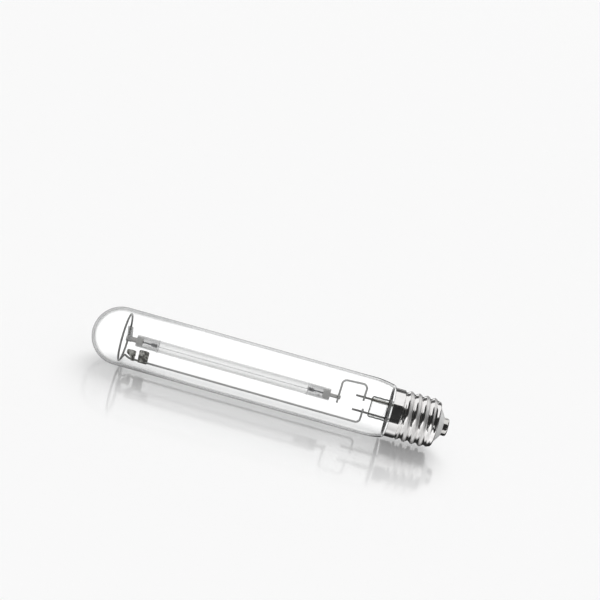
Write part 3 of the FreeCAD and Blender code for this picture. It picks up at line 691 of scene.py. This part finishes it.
for i in range(1, 9):
    t = i / 8
    line.append((turn_y * t, fold_radius, strap_shift * (1 - t)))
for i in range(5):
    a = math.pi / 2 * (1 - i / 4)
    line.append((turn_y + strap_thick * math.cos(a),
                 fold_radius - strap_thick + strap_thick * math.sin(a), 0))
line.append((high.y - strap_thick / 2, fold_radius + strap_thick / 2 - strap_tab, 0))
across = [(j / 4 - 1) * strap_half for j in range(9)]
form = bmesh.new()
skinned(form, [[form.verts.new((ring_x + shift + s, y, AXIS_Z + z)) for s in across]
               for y, z, shift in line])
strip_mesh = made(form)


def thickened(mesh, thick, edge):
    """The sheet given its gauge, half to each side, with its edges broken."""
    holder = placed("sheet_metal", mesh)
    solid = holder.modifiers.new("gauge", "SOLIDIFY")
    solid.thickness = thick
    solid.offset = 0
    bevel = holder.modifiers.new("edge", "BEVEL")
    bevel.width = edge
    bevel.segments = 2
    bevel.limit_method = "ANGLE"
    return evaluated(holder)


show("strap", thickened(strip_mesh, strap_thick, strap_edge), strap_metal, "tube_strap")


# Getters. Two flags of sheet metal on the frame rod, each with its foot rolled round the wire and a
# pressed pocket of dark getter powder that soaks up gas; heat leaves them mottled.
getter_dark, tree, shader = surface("getter_dark", (0.12, 0.12, 0.11), Metallic=0.3, Roughness=0.6)
cloud = noise(tree, 520, 3)
ramp = tree.nodes.new("ShaderNodeValToRGB")
ramp.color_ramp.elements.new(0.5)
tones = ((0.42, (0.05, 0.05, 0.04)), (0.5, (0.20, 0.20, 0.17)), (0.6, (0.62, 0.62, 0.58)))
for element, (position, tone) in zip(ramp.color_ramp.elements, tones):
    element.position = position
    element.color = (*tone, 1)
tree.links.new(cloud, ramp.inputs["Fac"])
tree.links.new(ramp.outputs["Color"], shader.inputs["Base Color"])
vary_gloss(tree, shader, cloud, 0.35, 0.75)
emboss(tree, shader, noise(tree, 1100, 6), 0.15 * MM, 0.7)
getter_thick = 0.5 * MM
getter_edge = 0.12 * MM
clip_gap = 0.03 * MM
clip_radius = frame_radius + clip_gap + getter_thick / 2
clip_share = 0.96
flag_corner = 1.4 * MM
pocket_slope = 0.5 * MM
flag_sink = getter_thick * 0.3


def getter_flag(name, node, clip_start, clip_length, taper, pocket_in, pocket_raise):
    """A flag rolled round the rod at its foot, with a raised pocket in the middle of its face."""
    low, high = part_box(node)
    width = high.x - low.x
    foot_z = low.z + clip_radius + getter_thick / 2
    form = bmesh.new()
    across = 26
    rolled = []
    for i in range(20):
        a = math.pi / 2 + 2 * math.pi * clip_share * i / 19
        y = frame_y + clip_radius * math.sin(a)
        z = foot_z - clip_radius * math.cos(a)
        rolled.append([form.verts.new((low.x + clip_start + clip_length * j / across, y, z))
                       for j in range(across + 1)])
    skinned(form, rolled)
    base = foot_z + clip_radius - flag_sink
    top = high.z
    up = 26
    sheet = []
    for i in range(up + 1):
        t = i / up
        z = base + (top - base) * t
        spread = min(1, max(0, (z - base) / taper)) if taper > 0 else 1
        left = low.x + clip_start * (1 - spread)
        right = low.x + (clip_start + clip_length) * (1 - spread) + width * spread
        corner = max(0, 1 - (top - z) / flag_corner)
        trim = (1 - math.sqrt(max(0, 1 - corner ** 2))) * flag_corner
        row = []
        for j in range(across + 1):
            s = j / across
            x = left + trim + (right - left - 2 * trim) * s
            edge = min(s * (right - left), (1 - s) * (right - left), top - z, z - base - taper * 0.5)
            lift = pocket_raise * min(1, max(0, (edge - pocket_in) / pocket_slope))
            row.append(form.verts.new((x, frame_y - lift, z)))
        sheet.append(row)
    skinned(form, sheet)
    mesh = thickened(made(form), getter_thick, getter_edge)
    show(name, mesh, getter_dark, node, crease=50)


getter_flag("getter_wide", "getter_flag_a", clip_start=4.2 * MM, clip_length=2.8 * MM,
            taper=3.6 * MM, pocket_in=1.0 * MM, pocket_raise=0.5 * MM)
getter_flag("getter_tall", "getter_flag_b", clip_start=0.5 * MM, clip_length=7 * MM,
            taper=0.6 * MM, pocket_in=1.1 * MM, pocket_raise=0.5 * MM)


# Outer bulb. Clear borosilicate tube blown to a round dome at one end; the other is necked down and
# sealed to the stem's flare, then pumped empty, so it has two clean polished surfaces.
bulb_low, bulb_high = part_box("outer_bulb")
bulb_radius = half_height("outer_bulb")
bulb_wall = 1.3 * MM
shell_low, shell_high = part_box("screw_shell")
fold_gap = 0.25 * MM
fold_length = 2.3 * MM
fold_round = 2.4 * MM
shoulder_length = 16.35 * MM
shoulder_drop = 1.8 * MM
neck_radius = 18.2 * MM
step_in = 5.4 * MM
step_length = 1.8 * MM
fold_end = shell_low.x - fold_gap
fold_start = fold_end - fold_length
shoulder = fold_start - shoulder_length
outside = []
for i in range(41):
    a = math.pi / 2 * i / 40
    outside.append((bulb_low.x + bulb_radius * (1 - math.cos(a)), bulb_radius * math.sin(a)))
dome_end = outside[-1][0]
for i in range(1, 21):
    outside.append((dome_end + (shoulder - dome_end) * i / 20, bulb_radius))
for i in range(1, 15):
    t = i / 14
    outside.append((shoulder + (fold_start - shoulder) * t, bulb_radius - shoulder_drop * t ** 2))
fold_top = bulb_radius - shoulder_drop
chord = Vector((fold_end - fold_start, neck_radius - fold_top))
middle = Vector((fold_start, fold_top)) + chord / 2
side = Vector((chord.y, -chord.x)).normalized()
centre = middle + side * math.sqrt(fold_round ** 2 - chord.length_squared / 4)
first = math.atan2(fold_top - centre.y, fold_start - centre.x)
last = math.atan2(neck_radius - centre.y, fold_end - centre.x)
for i in range(1, 13):
    a = first + (last - first) * i / 12
    outside.append((centre.x + fold_round * math.cos(a), centre.y + fold_round * math.sin(a)))
step_start = shell_low.x + step_in
outside += [(step_start, neck_radius), (step_start + step_length, seal_radius + bulb_wall),
            (bulb_high.x, seal_radius + bulb_wall)]
inside = []
for i, (x, radius) in enumerate(outside):
    before = Vector(outside[max(i - 1, 0)])
    after = Vector(outside[min(i + 1, len(outside) - 1)])
    along = (after - before).normalized() if i else Vector((0, 1))
    inside.append((x + along.y * bulb_wall, max(radius - along.x * bulb_wall, 0)))
inside[-1] = (bulb_high.x, seal_radius)
kept = [(x, radius) for x, radius in inside
        if x < fold_start - bulb_wall / 2 or x > fold_end + bulb_wall]
glass, tree, shader = surface("bulb_glass", (0.98, 0.985, 0.985), Roughness=0.0, IOR=1.3,
                              Transmission_Weight=1.0, Specular_IOR_Level=0.1)
# Painted shade: the bulb is drawn dark and less clear where it is seen along its wall, in a wider band
# round the dome and a thinner one along the barrel, up to the fold.
thick_until = 40 * MM
thin_from = 90 * MM
edge_from = 0.48
edge_thins = 0.12
thinner = station_ramp(tree, bulb_low.x + thick_until, bulb_low.x + thin_from)
edge_start = combined(tree, "MULTIPLY_ADD", thinner, edge_thins, edge_from)
darken_edges(tree, shader, (0.995, 0.997, 0.997), (0.03, 0.032, 0.035), edge_start, full=0.85,
             until=fold_start, clear=0.2)
let_lamps_through(tree, shader, share=0.72)
mesh = turned(outside + kept[::-1], 160, closed=False)
show("bulb", mesh, glass, "outer_bulb", crease=60)


# Cap cement. A ring of buff cement cast between the neck and the shell and baked hard; hidden by the
# shell, but seen through the glass from inside.
cement_buff, tree, shader = surface("cement_buff", (0.62, 0.57, 0.48), Roughness=0.9)
cloud = noise(tree, 900, 8)
vary_colour(tree, shader, cloud, (0.52, 0.47, 0.39), (0.70, 0.66, 0.57))
emboss(tree, shader, cloud, 0.2 * MM, 0.6)
low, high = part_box("base_cement")
cement_radius = half_height("base_cement")
cement_bore = seal_radius + bulb_wall
cement_dish = 0.5 * MM
ring = [(low.x, cement_bore)]
for i in range(9):
    t = i / 8
    ring.append((low.x + cement_dish * (1 - math.sin(math.pi * t)),
                 cement_bore + (cement_radius - cement_bore) * t))
ring += [(high.x, cement_radius), (high.x, cement_bore)]
show("cap_cement", turned(ring, 96), cement_buff, "base_cement")


# Screw shell. Thin brass rolled to a plain collar and a round-topped right-hand thread, nickel
# plated to a mirror, and turned in at its rim over the insulator.
shell_nickel, tree, shader = surface("shell_nickel", (0.80, 0.79, 0.78), Metallic=1.0, Roughness=0.12)
cloud = noise(tree, 260, 6)
vary_colour(tree, shader, cloud, (0.80, 0.785, 0.775), (0.95, 0.94, 0.935))
scratches = noise(tree, 420, 8, stretch=(14, 1, 1))
emboss(tree, shader, scratches, 0.02 * MM, 0.25)
shell_sheet = 0.35 * MM
collar_radius = 19.2 * MM
collar_length = 8.2 * MM
collar_step = 1.6 * MM
thread_root = 17.85 * MM
thread_crest = 19.65 * MM
thread_pitch = 6.35 * MM
thread_first = 6.65 * MM
thread_entry = 2.3 * MM
thread_exit = 5 * MM
thread_start = shell_low.x + collar_length
entry_before = 0.4 * MM
entry_after = 0.6 * MM
rim_round = 1.6 * MM
rim_bore = 14.5 * MM
shell_length = shell_high.x - shell_low.x
thread_end = shell_length - rim_round * 0.6
thread_fullness = 0.9
polished = 0.08
crest_wear = 0.45
wear_from = thread_root + 0.8 * MM
wear_full = thread_crest - 0.4 * MM


def distance_from(tree, scale, shift=(0, 0, 0)):
    """How far a place lies from the origin, once it is stretched and moved."""
    place = tree.nodes.new("ShaderNodeTexCoord")
    moved = tree.nodes.new("ShaderNodeVectorMath")
    moved.operation = "MULTIPLY_ADD"
    moved.inputs[1].default_value = scale
    moved.inputs[2].default_value = shift
    reach = tree.nodes.new("ShaderNodeVectorMath")
    reach.operation = "LENGTH"
    tree.links.new(place.outputs["Object"], moved.inputs[0])
    tree.links.new(moved.outputs["Vector"], reach.inputs[0])
    return reach.outputs["Value"]


from_axis = distance_from(tree, (0, 1, 1), (0, 0, -AXIS_Z))
worn = spanned(tree, from_axis, (wear_from, wear_full), (0, crest_wear), "SMOOTHSTEP")
threaded = station_ramp(tree, thread_start - entry_before, thread_start + entry_after)
dulled = combined(tree, "MULTIPLY_ADD", worn, threaded, polished)
tree.links.new(dulled, shader.inputs["Roughness"])


def thread_radius(x, angle):
    """How far the rolled sheet stands from the axis, at a station and an angle from the top."""
    phase = 2 * math.pi * (x - thread_first) / thread_pitch - angle
    wave = (0.5 + 0.5 * math.cos(phase)) ** thread_fullness
    into = smooth_step((x - collar_length + entry_before) / thread_entry)
    out = smooth_step((thread_end - x) / thread_exit)
    ridged = thread_root + (thread_crest - thread_root) * wave * into * out
    step = smooth_step((x - collar_length + collar_step / 2) / collar_step)
    return collar_radius + (ridged - collar_radius) * step


rows = []
around = 160
turn = [2 * math.pi * j / around for j in range(around)]
straight_end = shell_length - rim_round
lengthwise = 240
for i in range(lengthwise + 1):
    x = straight_end * i / lengthwise
    rows.append([(x, thread_radius(x, angle)) for angle in turn])
for i in range(1, 13):
    a = math.pi / 2 * i / 12
    x = straight_end + rim_round * math.sin(a)
    drop = rim_round * (1 - math.cos(a))
    rows.append([(x, max(thread_radius(x, angle), thread_root) - drop) for angle in turn])
rim_start = thread_root - rim_round
for i in range(1, 5):
    rows.append([(shell_length, rim_start + (rim_bore - rim_start) * i / 4)] * around)
form = bmesh.new()
skins = []
for inward in (0, shell_sheet):
    loops = []
    for row in rows:
        loop = []
        for angle, (x, radius) in zip(turn, row):
            back = inward if x > straight_end else 0
            reach = radius - (inward if x < shell_length - tiny else 0)
            loop.append(form.verts.new((shell_low.x + min(x, shell_length - back),
                                        -reach * math.sin(angle), AXIS_Z + reach * math.cos(angle))))
        loops.append(loop)
    skinned(form, loops, closed=True)
    skins.append(loops)
for k in (0, -1):
    skinned(form, [skins[0][k], skins[1][k]], closed=True)
show("cap_shell", made(form), shell_nickel, "screw_shell", crease=50)


# Insulator. Pale glazed ceramic pressed to a low cone, held under the shell's turned rim; it keeps
# the shell and the centre contact apart.
insulator_pale, tree, shader = surface("insulator_pale", (0.92, 0.92, 0.91), Roughness=0.25)
cloud = noise(tree, 600, 6)
vary_colour(tree, shader, cloud, (0.86, 0.86, 0.85), (0.95, 0.95, 0.945))
vary_gloss(tree, shader, cloud, 0.15, 0.35)
low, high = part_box("base_insulator")
contact_low, contact_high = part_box("centre_contact")
contact_radius = half_height("centre_contact")
contact_gauge = 0.6 * MM
wire_hole = 1.3 * MM
flange = half_height("base_insulator")
lip_x = shell_high.x - shell_sheet - seat_gap
neck = rim_bore - seat_gap
neck_length = 0.3 * MM
seat_width = 0.5 * MM
seat_chamfer = 0.9 * MM
boss = contact_radius - contact_gauge - seat_gap
boss_taper = 0.8 * MM
cone_edge = 0.5 * MM
cone = [(low.x, wire_hole), (low.x, flange), (lip_x, flange), (lip_x, neck),
        (shell_high.x + neck_length, neck),
        (contact_low.x - contact_gauge, contact_radius + seat_width + seat_chamfer),
        (contact_low.x, contact_radius + seat_width), (contact_low.x, boss),
        (high.x, boss - boss_taper), (high.x, wire_hole)]
mesh = turned(rounded(cone, cone_edge, 5))
show("cap_insulator", mesh, insulator_pale, "base_insulator")


# Centre contact. A cup pressed from nickel-plated brass, sitting on the insulator's boss, with the
# lead brought up through the hole in its middle.
contact_metal, tree, shader = surface("contact_metal", (0.70, 0.69, 0.67), Metallic=1.0, Roughness=0.16)
cloud = noise(tree, 500, 6)
vary_colour(tree, shader, cloud, (0.55, 0.54, 0.52), (0.80, 0.79, 0.77))
vary_gloss(tree, shader, cloud, 0.08, 0.26)
contact_round = 1.5 * MM
hole_rim = 0.9 * MM
hole_drop = 0.25 * MM
solder_low, solder_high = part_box("contact_solder")
solder_radius = half_height("contact_solder")
round_x = contact_high.x - contact_round
round_r = contact_radius - contact_round
quarter = [math.pi / 2 * i / 12 for i in range(13)]
inner_round = contact_round - contact_gauge
cup = [(contact_low.x, contact_radius - contact_gauge), (contact_low.x, contact_radius)]
cup += [(round_x + contact_round * math.sin(a), round_r + contact_round * math.cos(a))
        for a in quarter]
cup += [(contact_high.x, solder_radius + hole_rim), (contact_high.x - hole_drop, solder_radius),
        (contact_high.x - contact_gauge, solder_radius)]
cup += [(round_x + inner_round * math.sin(a), round_r + inner_round * math.cos(a))
        for a in reversed(quarter)]
show("contact_cup", turned(cup), contact_metal, "centre_contact")


# Solder. A shallow pool of tin solder that closes the hole in the cup and takes the lead's end; it
# set with a dull skin and a slight rise in the middle.
solder_dull, tree, shader = surface("solder_dull", (0.55, 0.55, 0.54), Metallic=1.0, Roughness=0.4)
cloud = noise(tree, 1400, 5)
vary_colour(tree, shader, cloud, (0.40, 0.40, 0.39), (0.66, 0.66, 0.65))
vary_gloss(tree, shader, cloud, 0.28, 0.55)
emboss(tree, shader, cloud, 0.08 * MM, 0.5)
solder_rise = 0.28 * MM
pool_edge = solder_high.x - solder_rise
pool = [(solder_low.x, 0), (solder_low.x, solder_radius), (pool_edge, solder_radius)]
for i in range(1, 9):
    t = i / 8
    pool.append((pool_edge + solder_rise * math.sin(math.pi / 2 * t), solder_radius * (1 - t)))
show("solder_pool", turned(pool, 48, closed=False), solder_dull, "contact_solder")


# Flexible leads. Soft copper wire from the posts' ends, hidden in the cap: one goes through the
# insulator to the centre contact, the other out to the inside of the shell.
copper, tree, shader = surface("copper", (0.62, 0.33, 0.22), Metallic=1.0, Roughness=0.35)
cloud = noise(tree, 900, stretch=(0.3, 1, 1))
vary_colour(tree, shader, cloud, (0.48, 0.25, 0.17), (0.68, 0.38, 0.26))
post_low, post_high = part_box("lead_upper")
flex_y = (post_low.y + post_high.y) / 2
flex_z = (post_low.z + post_high.z) / 2 - AXIS_Z
flex_radius = 0.5 * MM
flex_bend = 3 * MM
centred_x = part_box("base_insulator")[0].x - 1 * MM
slant_length = 4 * MM
contact_flex_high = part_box("flex_lead_contact")[1]
shell_flex_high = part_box("flex_lead_shell")[1]
route = [(post_high.x, -flex_z), (centred_x - slant_length, -flex_z), (centred_x, 0),
         (contact_flex_high.x, 0)]
mesh = wire_mesh([bent(route, [flex_bend] * 2, flex_y)], flex_radius)
show("flex_to_contact", mesh, copper, "flex_lead_contact")
climb = shell_flex_high.x - flex_radius
route = [(post_high.x, flex_z), (climb, flex_z), (climb, shell_flex_high.z - AXIS_Z)]
mesh = wire_mesh([bent(route, [flex_bend], flex_y)], flex_radius)
show("flex_to_shell", mesh, copper, "flex_lead_shell")


# Studio. A pale floor with a soft sheen round the lamp, a broad soft light above and behind, a pale
# room all round, and dark strips, a dark tent and a dark card that are seen in mirrors alone.
def studio_white(tree):
    """The factor that is one for the rays that see the studio, and nought for those that light it."""
    path = tree.nodes.new("ShaderNodeLightPath")
    seen = combined(tree, "MAXIMUM", path.outputs["Is Camera Ray"], path.outputs["Is Glossy Ray"])
    seen = combined(tree, "MAXIMUM", seen, path.outputs["Is Transmission Ray"])
    direct = combined(tree, "LESS_THAN", path.outputs["Diffuse Depth"], 0.5)
    return combined(tree, "MULTIPLY", seen, direct)


def staged(name, form, finish, mirror_only=False):
    """Puts a piece of the studio in the scene, seen by mirror rays alone where that is asked."""
    mesh = made(form, outward=False)
    mesh.materials.append(finish)
    piece = placed(name, mesh)
    if mirror_only:
        piece.visible_camera = False
        piece.visible_diffuse = False
        piece.visible_shadow = False
        piece.visible_transmission = False


world = bpy.data.worlds.new("pale_room")
bpy.context.scene.world = world
world.use_nodes = True
tree = world.node_tree
room = tree.nodes["Background"]
room_light = 0.46
strength = spanned(tree, studio_white(tree), (0, 1), (room_light, 1.0))
tree.links.new(strength, room.inputs["Strength"])
room.inputs["Color"].default_value = (1, 1, 1, 1)

floor_paint, tree, shader = surface("floor_paint", (0.80, 0.80, 0.80), Roughness=0.9)
floor_size = 12
floor_glow = 0.16
# Painted light: in mirrors the floor glows brighter than it is lit, a painted highlight on the metal,
# and seen through the glass it glows brighter too, in place of the light the bulb gathers on the floor.
metal_glow = 0.3
lens_glow = 0.2
floor_sheen = 0.34
sheen_core = 0.35
polished_length = 0.30
polished_width = 0.17
path = tree.nodes.new("ShaderNodeLightPath")
through_glass = path.outputs["Is Transmission Ray"]
mirrored = combined(tree, "SUBTRACT", path.outputs["Is Glossy Ray"], through_glass, clamp=True)
brightness = combined(tree, "MULTIPLY", mirrored, metal_glow)
brightness = combined(tree, "MULTIPLY_ADD", studio_white(tree), floor_glow, brightness)
brightness = combined(tree, "MULTIPLY_ADD", through_glass, lens_glow, brightness)
glow = tree.nodes.new("ShaderNodeEmission")
tree.links.new(brightness, glow.inputs["Strength"])
sheen = tree.nodes.new("ShaderNodeBsdfGlossy")
sheen.inputs["Roughness"].default_value = 0.11
away = distance_from(tree, (1 / polished_length, 1 / polished_width, 0))
gloss_share = spanned(tree, away, (sheen_core, 1), (floor_sheen, 0), "SMOOTHSTEP")
lit = tree.nodes.new("ShaderNodeAddShader")
polished_floor = mixed(tree, gloss_share, shader.outputs["BSDF"], sheen.outputs["BSDF"])
tree.links.new(polished_floor, lit.inputs[0])
tree.links.new(glow.outputs["Emission"], lit.inputs[1])

near_edge = -75 * MM
far_edge = -19 * MM
edge_blur = 6 * MM
cap_edge = shell_low.x - 12 * MM
nearer = station_ramp(tree, near_edge, near_edge - edge_blur, "Y", "LINEAR")
farther = station_ramp(tree, far_edge, far_edge + edge_blur, "Y", "LINEAR")
beside_cap = station_ramp(tree, cap_edge, cap_edge + edge_blur)
strips = combined(tree, "MULTIPLY", combined(tree, "MAXIMUM", nearer, farther), beside_cap)
flagged = combined(tree, "MULTIPLY", strips, mirrored)
dark_strip = tree.nodes.new("ShaderNodeEmission")
dark_strip.inputs["Strength"].default_value = 0.03
laid = mixed(tree, flagged, lit.outputs["Shader"], dark_strip.outputs["Emission"])
tree.links.new(laid, tree.nodes["Material Output"].inputs["Surface"])
form = bmesh.new()
bmesh.ops.create_grid(form, x_segments=8, y_segments=8, size=floor_size / 2)
staged("studio_floor", form, floor_paint)

lamp_height = math.radians(52)
lamp_side = math.radians(8)
key = bpy.data.lights.new("soft_lamp", "SUN")
key.energy = 2.13
key.angle = math.radians(50)
key_lamp = placed("soft_lamp", key)
toward_lamp = Vector((math.sin(lamp_side) * math.cos(lamp_height),
                      math.cos(lamp_side) * math.cos(lamp_height), math.sin(lamp_height)))
key_lamp.location = toward_lamp
key_lamp.rotation_euler = (-toward_lamp).to_track_quat("-Z", "Y").to_euler()
key_lamp.visible_glossy = False
key_lamp.visible_transmission = False

tent_black, tree, shader = surface("tent_black", (0.03, 0.03, 0.03), Roughness=0.9)
tent_radius = 4
tent_half = 4.5
tent_foot = -6
tent_top = 66
end_lift = 0.3
form = bmesh.new()
rows = []
for i in range(13):
    rise = math.radians(tent_foot + (tent_top - tent_foot) * i / 12)
    rows.append([form.verts.new((x, -tent_radius * math.cos(rise), tent_radius * math.sin(rise)))
                 for x in (-tent_half, -tent_half / 3, tent_half / 3, tent_half)])
skinned(form, rows)
rises = [math.radians(a) for a in range(0, 181, 15)]
arch = [(-tent_radius * math.cos(a), end_lift + tent_radius * math.sin(a)) for a in rises]
for x in (-tent_half, tent_half):
    form.faces.new([form.verts.new((x, y, z)) for y, z in arch])
staged("dark_tent", form, tent_black, mirror_only=True)

card_black, tree, shader = surface("card_black", (0.22, 0.22, 0.22), Roughness=0.9)
card_reach = 43.5 * MM
card_x = (shell_low.x - 10 * MM, shell_high.x + 25 * MM)
card_y = 32 * MM
card_z = (44 * MM, 92 * MM)
path = tree.nodes.new("ShaderNodeLightPath")
near = combined(tree, "LESS_THAN", path.outputs["Ray Length"], card_reach)
solid = combined(tree, "SUBTRACT", near, path.outputs["Is Transmission Ray"], clamp=True)
tree.links.new(solid, shader.inputs["Alpha"])
form = bmesh.new()
skinned(form, [[form.verts.new((x, card_y, z)) for x in card_x] for z in card_z])
staged("dark_card", form, card_black, mirror_only=True)


# Camera. A short telephoto from the front and a little above, tipped so that the lamp runs down to
# the right as it does in the photograph.
azimuth = math.radians(0.5)
elevation = math.radians(22)
roll = math.radians(15.5)
distance = 1.039
lens_aim = (0.0233, 0.0603)
view = Vector((math.sin(azimuth) * math.cos(elevation), -math.cos(azimuth) * math.cos(elevation),
               math.sin(elevation)))
right = Vector((0, 0, 1)).cross(view).normalized()
up = view.cross(right)
tipped_right = right * math.cos(roll) + up * math.sin(roll)
tipped_up = up * math.cos(roll) - right * math.sin(roll)
aim = Vector((0, 0, AXIS_Z)) + tipped_right * lens_aim[0] + tipped_up * lens_aim[1]
camera_data = bpy.data.cameras.new("camera")
camera_data.lens = 80.5
camera_data.sensor_width = 36
camera = placed("camera", camera_data)
camera.matrix_world = Matrix.Translation(aim + view * distance) @ Matrix(
    (tipped_right, tipped_up, view)).transposed().to_4x4()
bpy.context.scene.camera = camera
bpy.context.scene.view_settings.view_transform = "Standard"
